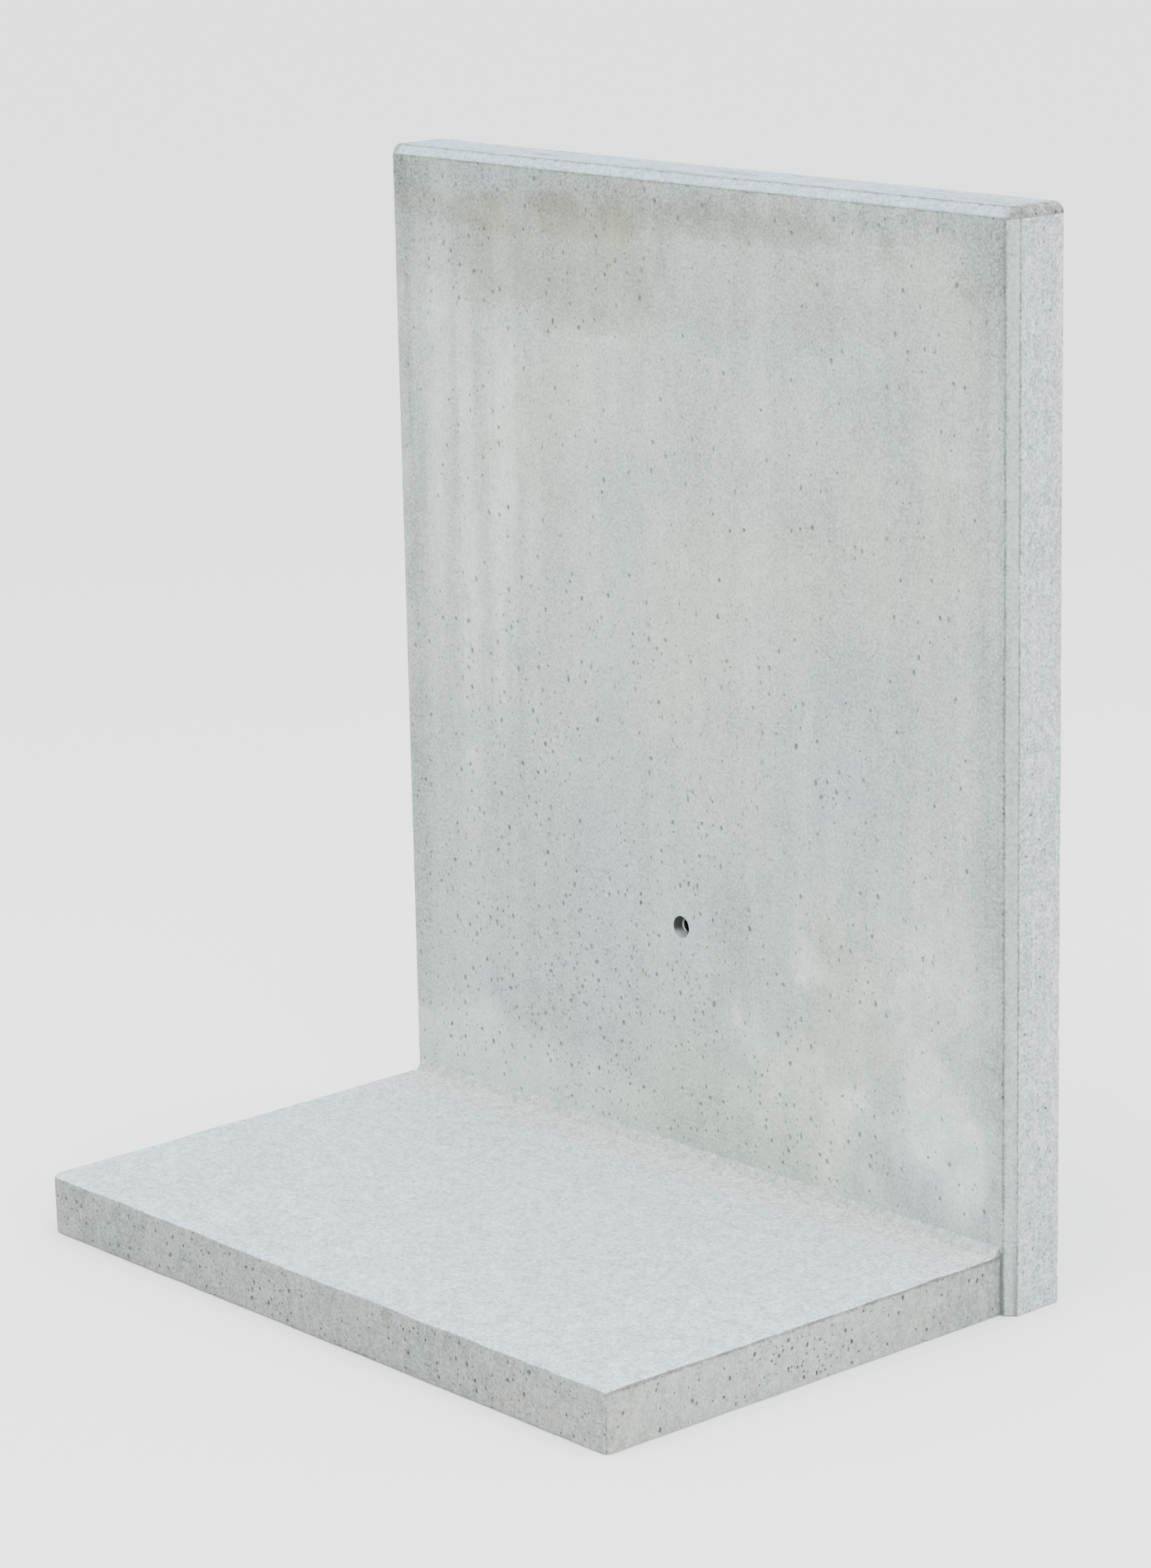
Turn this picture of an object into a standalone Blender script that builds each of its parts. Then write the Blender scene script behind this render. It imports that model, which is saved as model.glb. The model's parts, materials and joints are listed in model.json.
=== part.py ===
"""A precast reinforced concrete L wall element: an upright wall on the back edge of a flat foot.

+Z is up and +Y points out of the wall's back face. The origin is the centre of the footprint, on the ground.
Wall and foot are cast in one pour. Earth lies on the foot and against the inner face. A steel lifting socket
is set back in the inner face, and a tied cage of bars, held off the mould by cone spacers, is cast inside.
"""

import math

import bmesh
import bpy
from mathutils import Matrix, Vector

# Driving dimensions, in metres.
HEIGHT = 1.200
WIDTH = 1.000
DEPTH = 0.645
WALL_THICKNESS = 0.076
FOOT_THICKNESS = 0.067

# Edges of the casting.
CHAMFER = 0.011
TOP_END_RADIUS = 0.012
FOOT_INSET_AT_WALL = 0.016
FOOT_INSET_AT_FRONT = 0.024
FOOT_ARRIS = 0.003
FILLET = 0.010

# Lifting socket and its recess.
SOCKET_X = -0.012
SOCKET_HEIGHT = 0.339
RECESS_DIAMETER = 0.026
RECESS_DEPTH = 0.0105
SOCKET_DIAMETER = 0.0215
SOCKET_BORE = 0.016
SOCKET_WEB = 0.0055
SOCKET_TAIL = 0.010
BORE_LEAD_IN = 0.0012
CROSS_BAR_DIAMETER = 0.010
CROSS_BAR_LENGTH = 0.340

# Reinforcement cage.
MAIN_BAR_DIAMETER = 0.008
MAIN_BAR_COUNT = 6
MAIN_BAR_FROM_END = 0.100
MAIN_BAR_BEND = 0.028
ROW_BAR_DIAMETER = 0.006
ROW_STRADDLE = 0.165
UPPER_ROW_COUNT = 5
FOOT_ROW_COUNT = 4
END_COVER = 0.030

# Cone spacers between the cage and the mould.
SPACER_ROOT_DIAMETER = 0.018
SPACER_TIP_DIAMETER = 0.010
SPACER_SKIN = 0.001

# Clearance between any two pieces that touch.
CLEARANCE = 0.0003

# Facets of the round pieces.
BAR_SIDES = 8
SPACER_SIDES = 12
SOCKET_SIDES = 32
ROUND_SEGMENTS = 4

# How far a cutter or a joined shape reaches past the face that it meets.
OVERRUN = 0.010

# Places that follow from the dimensions above.
FOOT_FRONT = -DEPTH / 2
WALL_BACK = DEPTH / 2
WALL_FRONT = WALL_BACK - WALL_THICKNESS
FOOT_LENGTH = DEPTH - WALL_THICKNESS
MAIN_Y = WALL_FRONT + WALL_THICKNESS / 2
MAIN_Z = FOOT_THICKNESS / 2
ROW_OFFSET = (MAIN_BAR_DIAMETER + ROW_BAR_DIAMETER) / 2 + CLEARANCE
CROSS_BAR_Y = MAIN_Y + (MAIN_BAR_DIAMETER + CROSS_BAR_DIAMETER) / 2 + CLEARANCE
SOCKET_FACE = WALL_FRONT + RECESS_DEPTH
SOCKET_END = CROSS_BAR_Y + SOCKET_TAIL

OUTER_MAIN_X = WIDTH / 2 - MAIN_BAR_FROM_END
MAIN_STEP = 2 * OUTER_MAIN_X / (MAIN_BAR_COUNT - 1)
MAIN_XS = [MAIN_STEP * i - OUTER_MAIN_X for i in range(MAIN_BAR_COUNT)]

CONCRETE = ("concrete", (0.60, 0.62, 0.60, 1.0), 0.85, 0.0)
ZINC_STEEL = ("zinc_plated_steel", (0.62, 0.62, 0.60, 1.0), 0.35, 1.0)
BAR_STEEL = ("bar_steel", (0.22, 0.17, 0.14, 1.0), 0.60, 1.0)
SPACER_CONCRETE = ("spacer_concrete", (0.50, 0.50, 0.48, 1.0), 0.90, 0.0)


def clear_scene():
    for obj in list(bpy.data.objects):
        bpy.data.objects.remove(obj, do_unlink=True)


def new_collection(name):
    collection = bpy.data.collections.new(name)
    bpy.context.scene.collection.children.link(collection)
    return collection


def material(spec):
    """The Principled material that a (name, colour, roughness, metallic) tuple describes, made once."""
    name, colour, roughness, metallic = spec
    found = bpy.data.materials.get(name)
    if found:
        return found
    made = bpy.data.materials.new(name)
    made.use_nodes = True
    shader = made.node_tree.nodes["Principled BSDF"]
    shader.inputs["Base Color"].default_value = colour
    shader.inputs["Roughness"].default_value = roughness
    shader.inputs["Metallic"].default_value = metallic
    made.diffuse_color = colour
    return made


def add_object(name, data, collection, spec=None):
    obj = bpy.data.objects.new(name, data)
    collection.objects.link(obj)
    if spec:
        data.materials.append(material(spec))
    return obj


def add_part(name, data, spec):
    return add_object(name, data, PARTS, spec)


def add_cutter(name, data):
    obj = add_object(name, data, CUTTERS)
    obj.hide_render = True
    obj.display_type = "WIRE"
    return obj


def mesh_from(name, bm):
    bmesh.ops.recalc_face_normals(bm, faces=bm.faces)
    mesh = bpy.data.meshes.new(name)
    bm.to_mesh(mesh)
    bm.free()
    return mesh


def prism_mesh(name, outline, direction):
    """A closed outline, given as 3-D points, swept along a direction."""
    bm = bmesh.new()
    face = bm.faces.new([bm.verts.new(point) for point in outline])
    swept = bmesh.ops.extrude_face_region(bm, geom=[face])["geom"]
    moved = [item for item in swept if isinstance(item, bmesh.types.BMVert)]
    bmesh.ops.translate(bm, verts=moved, vec=direction)
    return mesh_from(name, bm)


def cone_mesh(name, start, end, start_radius, end_radius, sides):
    """A cone or cylinder between two points, with a flat side, not a corner, facing each axis."""
    start, end = Vector(start), Vector(end)
    along = end - start
    corner = 1 / math.cos(math.pi / sides)
    turned = Matrix.Rotation(math.pi / sides, 4, "Z")
    if abs(along.normalized().z) < 0.5:
        upright = along.to_track_quat("Z", "Y").to_matrix().to_4x4()
    else:
        upright = Matrix.Rotation(0.0 if along.z > 0 else math.pi, 4, "X")
    bm = bmesh.new()
    bmesh.ops.create_cone(
        bm,
        cap_ends=True,
        segments=sides,
        radius1=start_radius * corner,
        radius2=end_radius * corner,
        depth=along.length,
        matrix=Matrix.Translation((start + end) / 2) @ upright @ turned,
    )
    return mesh_from(name, bm)


def shade_round(obj):
    obj.data.shade_smooth()
    obj.data.set_sharp_from_angle(angle=math.radians(50))


def cut(obj, cutter, label):
    modifier = obj.modifiers.new(label, "BOOLEAN")
    modifier.operation = "DIFFERENCE"
    modifier.solver = "EXACT"
    modifier.object = cutter


def join(obj, other, label):
    modifier = obj.modifiers.new(label, "BOOLEAN")
    modifier.operation = "UNION"
    modifier.solver = "EXACT"
    modifier.object = other


def foot_half_width(y):
    """Half the foot's width at a distance from the wall: its sides draw in towards the front."""
    share = (WALL_FRONT - y) / FOOT_LENGTH
    return WIDTH / 2 - FOOT_INSET_AT_WALL - share * (FOOT_INSET_AT_FRONT - FOOT_INSET_AT_WALL)


def wall_rows():
    """Heights of the bars across the wall: one low, two about the socket, and the rest up to the top."""
    low = FOOT_THICKNESS + END_COVER
    above = SOCKET_HEIGHT + ROW_STRADDLE / 2
    step = (HEIGHT - END_COVER - above) / (UPPER_ROW_COUNT - 1)
    upper = [above + step * i for i in range(UPPER_ROW_COUNT)]
    return [low, SOCKET_HEIGHT - ROW_STRADDLE / 2, *upper]


def foot_rows():
    """Distances along Y of the bars across the foot, from the front to just before the bend."""
    first = FOOT_FRONT + END_COVER + ROW_BAR_DIAMETER
    last = MAIN_Y - MAIN_BAR_BEND - ROW_BAR_DIAMETER
    step = (last - first) / (FOOT_ROW_COUNT - 1)
    return [first + step * i for i in range(FOOT_ROW_COUNT)]


# The casting.


def arc(centre_x, centre_z, radius, start, end):
    """Points of an arc in the XZ plane, in degrees from +X, on the wall's inner face."""
    angles = [start + (end - start) * i / ROUND_SEGMENTS for i in range(ROUND_SEGMENTS + 1)]
    return [
        (
            centre_x + radius * math.cos(math.radians(angle)),
            WALL_FRONT,
            centre_z + radius * math.sin(math.radians(angle)),
        )
        for angle in angles
    ]


def wall_mesh():
    """The upright slab: rounded top ends, and a chamfer round the inner face's sides and top."""
    half = WIDTH / 2
    corner_x = half - TOP_END_RADIUS
    corner_z = HEIGHT - TOP_END_RADIUS
    outline = [(-half, WALL_FRONT, 0.0), (half, WALL_FRONT, 0.0)]
    outline += arc(corner_x, corner_z, TOP_END_RADIUS, 0.0, 90.0)
    outline += arc(-corner_x, corner_z, TOP_END_RADIUS, 90.0, 180.0)
    mesh = prism_mesh("wall", outline, (0.0, WALL_THICKNESS, 0.0))
    bm = bmesh.new()
    bm.from_mesh(mesh)
    bpy.data.meshes.remove(mesh)
    tiny = CHAMFER / 100
    edges = [
        edge
        for edge in bm.edges
        if all(abs(vert.co.y - WALL_FRONT) < tiny for vert in edge.verts)
        and any(vert.co.z > tiny for vert in edge.verts)
    ]
    bmesh.ops.bevel(bm, geom=edges, offset=CHAMFER, segments=1, affect="EDGES")
    return mesh_from("wall", bm)


def foot_mesh():
    """The foot: a slab whose sides draw in towards the front, reaching into the wall to be joined to it."""
    back = WALL_FRONT + OVERRUN
    front_half = foot_half_width(FOOT_FRONT)
    back_half = foot_half_width(back)
    outline = [
        (-front_half, FOOT_FRONT, 0.0),
        (front_half, FOOT_FRONT, 0.0),
        (back_half, back, 0.0),
        (-back_half, back, 0.0),
    ]
    mesh = prism_mesh("foot", outline, (0.0, 0.0, FOOT_THICKNESS))
    bm = bmesh.new()
    bm.from_mesh(mesh)
    bpy.data.meshes.remove(mesh)
    tiny = FOOT_ARRIS / 100
    edges = [
        edge
        for edge in bm.edges
        if any(vert.co.z > tiny for vert in edge.verts)
        and any(vert.co.y < FOOT_FRONT + tiny for vert in edge.verts)
    ]
    bmesh.ops.bevel(
        bm, geom=edges, offset=FOOT_ARRIS, segments=2, profile=0.5, affect="EDGES"
    )
    return mesh_from("foot", bm)


def fillet_mesh():
    """The trowelled bead along the inner corner, from one side of the foot to the other."""
    half = foot_half_width(WALL_FRONT) - CLEARANCE
    deep = FILLET / 2
    outline = [
        (-half, WALL_FRONT - FILLET, FOOT_THICKNESS),
        (-half, WALL_FRONT - FILLET, FOOT_THICKNESS - deep),
        (-half, WALL_FRONT + deep, FOOT_THICKNESS - deep),
        (-half, WALL_FRONT + deep, FOOT_THICKNESS + FILLET),
        (-half, WALL_FRONT, FOOT_THICKNESS + FILLET),
    ]
    return prism_mesh("fillet", outline, (2 * half, 0.0, 0.0))


def make_casting():
    body = add_part("concrete_body", wall_mesh(), CONCRETE)
    join(body, add_cutter("foot_shape", foot_mesh()), "foot")
    join(body, add_cutter("fillet_shape", fillet_mesh()), "fillet")
    return body


# The lifting socket.


def socket_cylinder(name, diameter, start, end, end_diameter=None):
    """A round form on the socket's axis between two places along Y."""
    tip = diameter if end_diameter is None else end_diameter
    low = (SOCKET_X, start, SOCKET_HEIGHT)
    high = (SOCKET_X, end, SOCKET_HEIGHT)
    return cone_mesh(name, low, high, diameter / 2, tip / 2, SOCKET_SIDES)


def make_socket(body):
    recess = socket_cylinder("recess", RECESS_DIAMETER, WALL_FRONT - OVERRUN, SOCKET_FACE)
    cut(body, add_cutter("recess", recess), "recess")
    seat = socket_cylinder(
        "socket_seat",
        SOCKET_DIAMETER + 2 * CLEARANCE,
        SOCKET_FACE - OVERRUN / 2,
        SOCKET_END + CLEARANCE,
    )
    cut(body, add_cutter("socket_seat", seat), "socket seat")

    sleeve = socket_cylinder("lifting_socket", SOCKET_DIAMETER, SOCKET_FACE, SOCKET_END)
    socket = add_part("lifting_socket", sleeve, ZINC_STEEL)
    shade_round(socket)
    bore_end = CROSS_BAR_Y - CROSS_BAR_DIAMETER / 2 - CLEARANCE - SOCKET_WEB
    bore = socket_cylinder("socket_bore", SOCKET_BORE, SOCKET_FACE - OVERRUN, bore_end)
    cut(socket, add_cutter("socket_bore", bore), "bore")
    lead_in = socket_cylinder(
        "socket_lead_in",
        SOCKET_BORE + 4 * BORE_LEAD_IN,
        SOCKET_FACE - BORE_LEAD_IN,
        SOCKET_FACE + BORE_LEAD_IN,
        SOCKET_BORE,
    )
    cut(socket, add_cutter("socket_lead_in", lead_in), "lead in")
    cross_hole = bar_cutter("socket_cross_hole", cross_bar_ends(), CROSS_BAR_DIAMETER)
    cut(socket, cross_hole, "cross hole")


def cross_bar_ends():
    half = CROSS_BAR_LENGTH / 2
    return (
        (SOCKET_X - half, CROSS_BAR_Y, SOCKET_HEIGHT),
        (SOCKET_X + half, CROSS_BAR_Y, SOCKET_HEIGHT),
    )


# The cage. Each bar is a part, and the same shape with the clearance added is cut from the casting.


def straight_bar(name, ends, diameter):
    bar = cone_mesh(name, *ends, diameter / 2, diameter / 2, BAR_SIDES)
    shade_round(add_part(name, bar, BAR_STEEL))


def bar_cutter(name, ends, diameter):
    """A bar's shape, wider and longer by the clearance all round."""
    start, end = Vector(ends[0]), Vector(ends[1])
    more = (end - start).normalized() * CLEARANCE
    radius = diameter / 2 + CLEARANCE
    return add_cutter(name, cone_mesh(name, start - more, end + more, radius, radius, BAR_SIDES))


def bent_bar_curve(name, x, radius, more):
    """An L-shaped bar: down the middle of the wall, round a bend and along the middle of the foot."""
    curve = bpy.data.curves.new(name, "CURVE")
    curve.dimensions = "3D"
    curve.bevel_depth = radius / math.cos(math.pi / BAR_SIDES)
    curve.bevel_resolution = BAR_SIDES // 2 - 2
    curve.use_fill_caps = True
    centre_y = MAIN_Y - MAIN_BAR_BEND
    centre_z = MAIN_Z + MAIN_BAR_BEND
    points = [(x, MAIN_Y, HEIGHT - END_COVER + more)]
    for i in range(ROUND_SEGMENTS + 1):
        angle = math.radians(-90.0 * i / ROUND_SEGMENTS)
        y = centre_y + MAIN_BAR_BEND * math.cos(angle)
        z = centre_z + MAIN_BAR_BEND * math.sin(angle)
        points.append((x, y, z))
    points.append((x, FOOT_FRONT + END_COVER - more, MAIN_Z))
    spline = curve.splines.new("POLY")
    spline.points.add(len(points) - 1)
    for point, place in zip(spline.points, points):
        point.co = (*place, 1.0)
        point.tilt = math.pi / BAR_SIDES
    return curve


def bent_bar_cutter(name, x):
    """The bent bar's shape with the clearance added, made a closed mesh."""
    curve = bent_bar_curve(name, x, MAIN_BAR_DIAMETER / 2 + CLEARANCE, CLEARANCE)
    source = add_object(name + "_curve", curve, CUTTERS)
    bpy.context.view_layer.update()
    graph = bpy.context.evaluated_depsgraph_get()
    mesh = bpy.data.meshes.new_from_object(source.evaluated_get(graph))
    bpy.data.objects.remove(source, do_unlink=True)
    bm = bmesh.new()
    bm.from_mesh(mesh)
    bpy.data.meshes.remove(mesh)
    bmesh.ops.remove_doubles(bm, verts=bm.verts, dist=CLEARANCE / 10)
    return add_cutter(name, mesh_from(name, bm))


def make_cage(body):
    for i, x in enumerate(MAIN_XS, 1):
        name = f"bent_bar_{i}"
        add_part(name, bent_bar_curve(name, x, MAIN_BAR_DIAMETER / 2, 0.0), BAR_STEEL)
        cut(body, bent_bar_cutter(name + "_channel", x), name)

    wall_half = WIDTH / 2 - END_COVER
    for i, z in enumerate(wall_rows(), 1):
        name = f"wall_bar_{i}"
        y = MAIN_Y + ROW_OFFSET
        ends = ((-wall_half, y, z), (wall_half, y, z))
        straight_bar(name, ends, ROW_BAR_DIAMETER)
        cut(body, bar_cutter(name + "_channel", ends, ROW_BAR_DIAMETER), name)

    for i, y in enumerate(foot_rows(), 1):
        name = f"foot_bar_{i}"
        half = foot_half_width(y) - END_COVER
        ends = ((-half, y, MAIN_Z - ROW_OFFSET), (half, y, MAIN_Z - ROW_OFFSET))
        straight_bar(name, ends, ROW_BAR_DIAMETER)
        cut(body, bar_cutter(name + "_channel", ends, ROW_BAR_DIAMETER), name)

    straight_bar("socket_cross_bar", cross_bar_ends(), CROSS_BAR_DIAMETER)
    channel = bar_cutter("cross_bar_channel", cross_bar_ends(), CROSS_BAR_DIAMETER)
    cut(body, channel, "cross bar")


# The spacers.


def make_spacer(body, name, root, tip):
    """A cone that stands on a bar and ends just under the casting's surface."""
    root_radius = SPACER_ROOT_DIAMETER / 2
    tip_radius = SPACER_TIP_DIAMETER / 2
    cone = cone_mesh(name, root, tip, root_radius, tip_radius, SPACER_SIDES)
    shade_round(add_part(name, cone, SPACER_CONCRETE))
    more = (Vector(tip) - Vector(root)).normalized() * CLEARANCE
    seat = cone_mesh(
        name + "_seat",
        Vector(root) - more,
        Vector(tip) + more,
        root_radius + CLEARANCE,
        tip_radius + CLEARANCE,
        SPACER_SIDES,
    )
    cut(body, add_cutter(name + "_seat", seat), name)


def make_spacers(body):
    off_bar = MAIN_BAR_DIAMETER / 2 + CLEARANCE
    rows = wall_rows()
    foot = foot_rows()
    outer = (MAIN_XS[1], MAIN_XS[-2])
    heights = ((rows[2] + rows[3]) / 2, (rows[-2] + rows[-1]) / 2)
    depths = ((foot[0] + foot[1]) / 2, (foot[-2] + foot[-1]) / 2)
    wall_places = [(x, z) for z in heights for x in outer]
    foot_places = [(x, y) for y in depths for x in outer]
    for i, (x, z) in enumerate(wall_places, 1):
        front = ((x, MAIN_Y - off_bar, z), (x, WALL_FRONT + SPACER_SKIN, z))
        back = ((x, MAIN_Y + off_bar, z), (x, WALL_BACK - SPACER_SKIN, z))
        make_spacer(body, f"front_spacer_{i}", *front)
        make_spacer(body, f"back_spacer_{i}", *back)
    for i, (x, y) in enumerate(foot_places, 1):
        under = ((x, y, MAIN_Z - off_bar), (x, y, SPACER_SKIN))
        make_spacer(body, f"foot_spacer_{i}", *under)


clear_scene()
PARTS = new_collection("l_wall_element")
CUTTERS = new_collection("cutters")
CUTTERS.hide_render = True
casting = make_casting()
make_socket(casting)
make_cage(casting)
make_spacers(casting)
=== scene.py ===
"""The looks of a precast concrete L wall element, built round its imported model.

The casting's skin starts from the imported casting's own faces. Each flat panel is divided finely, so that
the waves, bug holes, worn arrises and the rough bead are real shape. Colour and fine grain come from node
materials.
"""

import json
import math
from collections import namedtuple

import bmesh
import bpy
import numpy as np
from mathutils import Matrix, Vector, noise
from mathutils.geometry import delaunay_2d_cdt


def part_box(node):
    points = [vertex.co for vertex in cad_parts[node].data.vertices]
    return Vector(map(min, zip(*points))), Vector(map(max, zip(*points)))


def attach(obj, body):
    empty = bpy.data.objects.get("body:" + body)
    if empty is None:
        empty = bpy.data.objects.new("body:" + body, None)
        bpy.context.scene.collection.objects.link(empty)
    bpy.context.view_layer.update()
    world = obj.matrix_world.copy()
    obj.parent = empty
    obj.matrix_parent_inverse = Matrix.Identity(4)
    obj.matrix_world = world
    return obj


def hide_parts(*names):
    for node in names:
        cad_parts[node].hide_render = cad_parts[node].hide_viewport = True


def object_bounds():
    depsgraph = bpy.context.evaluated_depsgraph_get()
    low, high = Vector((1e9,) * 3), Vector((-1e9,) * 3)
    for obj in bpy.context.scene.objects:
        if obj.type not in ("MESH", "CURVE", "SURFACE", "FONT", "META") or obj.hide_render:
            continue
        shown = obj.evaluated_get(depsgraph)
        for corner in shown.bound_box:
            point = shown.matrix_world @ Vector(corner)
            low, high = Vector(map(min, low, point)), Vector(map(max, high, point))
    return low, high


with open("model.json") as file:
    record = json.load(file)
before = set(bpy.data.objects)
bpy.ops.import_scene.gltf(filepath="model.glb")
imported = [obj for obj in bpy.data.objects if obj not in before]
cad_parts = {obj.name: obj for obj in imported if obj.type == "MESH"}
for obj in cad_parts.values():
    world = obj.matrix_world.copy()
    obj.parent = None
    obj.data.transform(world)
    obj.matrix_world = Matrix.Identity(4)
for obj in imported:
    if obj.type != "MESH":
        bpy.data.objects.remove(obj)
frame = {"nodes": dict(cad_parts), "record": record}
CAD_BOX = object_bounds()

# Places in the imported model, in metres.
BODY_LOW, BODY_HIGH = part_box("concrete_body")
SOCKET_LOW, SOCKET_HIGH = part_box("lifting_socket")
FACES = {mount["name"]: Vector(mount["pos_m"]) for mount in frame["record"]["mounts"]}
WALL_FRONT = FACES["inner_face"].y
FOOT_TOP = FACES["foot_top"].z
WALL_TOP = BODY_HIGH.z
HALF_WIDTH = BODY_HIGH.x
SOCKET_AXIS = Vector(((SOCKET_LOW.x + SOCKET_HIGH.x) / 2, 0.0, (SOCKET_LOW.z + SOCKET_HIGH.z) / 2))
SOCKET_FACE = SOCKET_LOW.y

# The casting's edges.
CHAMFER = 0.011
TOP_END_RADIUS = 0.012
ROUND_FIT = 0.0002
FOOT_FRONT_HALF = 0.476
FOOT_CORNER_RADII = (0.016, 0.004)
SEAT_RADIUS = 0.0118
RECESS_RADIUS = 0.0140

# How finely the skin is divided: the steps along its edges, the rows of points beside an edge, the least
# distance of the other points from one, and how much of a step each is moved at random.
EDGE_STEP = 0.0045
BEAD_STEP = 0.0025
ROUND_STEP = 0.0013
ARRIS_ROWS = (0.0012, 0.0036)
GRID_SHARE = 0.55
GRID_CLEAR = 0.0052
GRID_JITTER = 0.22
SEED = 27

# How faces are told apart: a face this much along an axis faces along it, two faces in one plane agree this
# much, an edge bends from the first angle on and is shaded sharp from the second on.
FACING = 0.9
SAME_PLANE = 0.99999
BEND_ANGLE = math.radians(30)
SHARP_ANGLE = math.radians(38)

# The triangulation's kind of output and merge distance, and the distance at which packed corners are one.
ENCLOSED = 1
MERGE_DISTANCE = 1e-8
WELD_DISTANCE = 1e-6

# The floor's radius and its distance under the object, the sky's strength, and the lights.
FLOOR_RADIUS = 60.0
FLOOR_GAP = 0.0008
SKY_STRENGTH = 2.6
Lamp = namedtuple("Lamp", "name place target size power")
LAMPS = (
    Lamp("overhead", (0.6, -0.4, 4.2), (0.0, 0.0, 0.4), 4.0, 195.0),
    Lamp("right", (4.2, -1.2, 2.4), (0.2, 0.1, 0.6), 2.6, 70.0),
)

# The camera: where it stands, and how it is turned, in degrees.
EYE = Vector((3.667, -3.1855, 1.769))
HEADING = 48.33
PITCH = 14.05
ROLL = -1.19
LENS = 104.86
SENSOR = 36.0

# A panel's finish, the distance between its points, its waves as (height, length) pairs, how many bug holes
# it may have on a square metre, the smallest and largest radius of one, and how dark they are inside, as
# painted shade and dirt.
Style = namedtuple("Style", "finish grid waves holes radii shades")
NO_HOLES = (0, (0.0, 0.0), (0.0, 0.0))
STYLES = {
    "inner": Style(
        "formed", 0.0130, ((0.00045, 0.30), (0.00012, 0.035)),
        6400, (0.0009, 0.0031), (0.55, 1.00)
    ),
    "back": Style("back", 0.0240, ((0.00040, 0.30), (0.00010, 0.035)), 700, (0.0008, 0.0026), (0.55, 1.00)),
    "chamfer": Style("chamfer", 0.0060, ((0.00015, 0.05),), 900, (0.0007, 0.0015), (0.60, 1.00)),
    "side": Style("side", 0.0064, ((0.00025, 0.06), (0.00044, 0.015)), 2600, (0.0009, 0.0021), (0.60, 1.00)),
    "round": Style("topping", 0.0030, ((0.00020, 0.012),), *NO_HOLES),
    "foot_edge": Style(
        "foot_edge", 0.0070, ((0.00080, 0.06), (0.00025, 0.016)),
        6800, (0.0010, 0.0026), (0.75, 1.00)
    ),
    "foot_top": Style(
        "trowelled", 0.0082, ((0.00110, 0.09), (0.00035, 0.020)),
        90, (0.0008, 0.0016), (0.50, 0.90)
    ),
    "wall_top": Style(
        "topping", 0.0056, ((0.00040, 0.12), (0.00025, 0.016)),
        450, (0.0008, 0.0018), (0.60, 1.00)
    ),
    "arris": Style("trowelled", 0.0030, ((0.00030, 0.018),), *NO_HOLES),
    "bead": Style("bead", 0.0025, ((0.00110, 0.016), (0.00060, 0.006)), *NO_HOLES),
    "under": Style("foot_edge", 0.0200, ((0.00050, 0.20),), 150, (0.0008, 0.0020), (0.60, 1.00)),
    "recess": Style("recess", 0.0020, ((0.00004, 0.006),), *NO_HOLES),
}
FINISHES = ("formed", "back", "chamfer", "side", "foot_edge", "trowelled", "topping", "bead", "recess")

# Bug holes: their distance from an edge and from each other, the room their rims need among the other points,
# and the radius from which one has a wall as well as a rim.
HOLE_EDGE_GAP = 0.0016
HOLE_GAP = 0.0008
HOLE_MARGIN = 0.0004
WIDE_HOLE = 0.0011

# Three black pits under the socket, as their places from its axis along X and Z, and their radius.
BLACK_PITS = ((-0.013, -0.066), (0.010, -0.065), (0.017, -0.071))
BLACK_PIT_RADIUS = 0.0016


# The casting's flat panels.


def from_socket_axis(point):
    """The distance of a point from the axis of the lifting socket."""
    return math.hypot(point.x - SOCKET_AXIS.x, point.z - SOCKET_AXIS.z)


def on_seat_rim(point):
    """Whether a point is on the circle where the recess meets the socket."""
    return abs(point.y - SOCKET_FACE) < ROUND_FIT and from_socket_axis(point) < SEAT_RADIUS


def on_recess(point):
    """Whether a point is on the recess's wall or mouth."""
    away = from_socket_axis(point)
    return point.y < SOCKET_FACE + ROUND_FIT and SEAT_RADIUS < away < RECESS_RADIUS


def end_round(point):
    """The centre, in X and Z, and the radius of the rounded top end at a point's place along Y."""
    centre = Vector((math.copysign(HALF_WIDTH - TOP_END_RADIUS, point.x), WALL_TOP - TOP_END_RADIUS))
    return centre, TOP_END_RADIUS - max(0.0, WALL_FRONT + CHAMFER - point.y)


def on_end_round(point):
    """Whether a point is on one of the wall's two rounded top ends."""
    centre, radius = end_round(point)
    away = Vector((point.x, point.z)) - centre
    outward = away.x * math.copysign(1.0, point.x)
    return outward > -ROUND_FIT and away.y > -ROUND_FIT and abs(away.length - radius) < ROUND_FIT


def made_round(point):
    """The place on the true round of a point on one of the rounded end's flats."""
    centre, radius = end_round(point)
    away = (Vector((point.x, point.z)) - centre).normalized() * radius
    return Vector((centre.x + away.x, point.y, centre.y + away.y))


def outer_faces(bm):
    """The faces that show, from the largest one outwards as far as the seat of the socket."""
    start = max(bm.faces, key=lambda face: face.calc_area())
    found = {start}
    waiting = [start]
    while waiting:
        for edge in waiting.pop().edges:
            if not all(on_seat_rim(vert.co) for vert in edge.verts):
                new = [face for face in edge.link_faces if face not in found]
                found.update(new)
                waiting.extend(new)
    return found


def flat_groups(faces):
    """Sets of joined faces that lie in one plane."""
    left = set(faces)
    ordered = sorted(faces, key=lambda face: face.index)
    groups = []
    for start in ordered:
        if start not in left:
            continue
        left.discard(start)
        group = [start]
        waiting = [start]
        while waiting:
            for edge in waiting.pop().edges:
                for face in edge.link_faces:
                    if face in left and face.normal.dot(start.normal) > SAME_PLANE:
                        left.discard(face)
                        group.append(face)
                        waiting.append(face)
        groups.append(group)
    return groups


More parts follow.
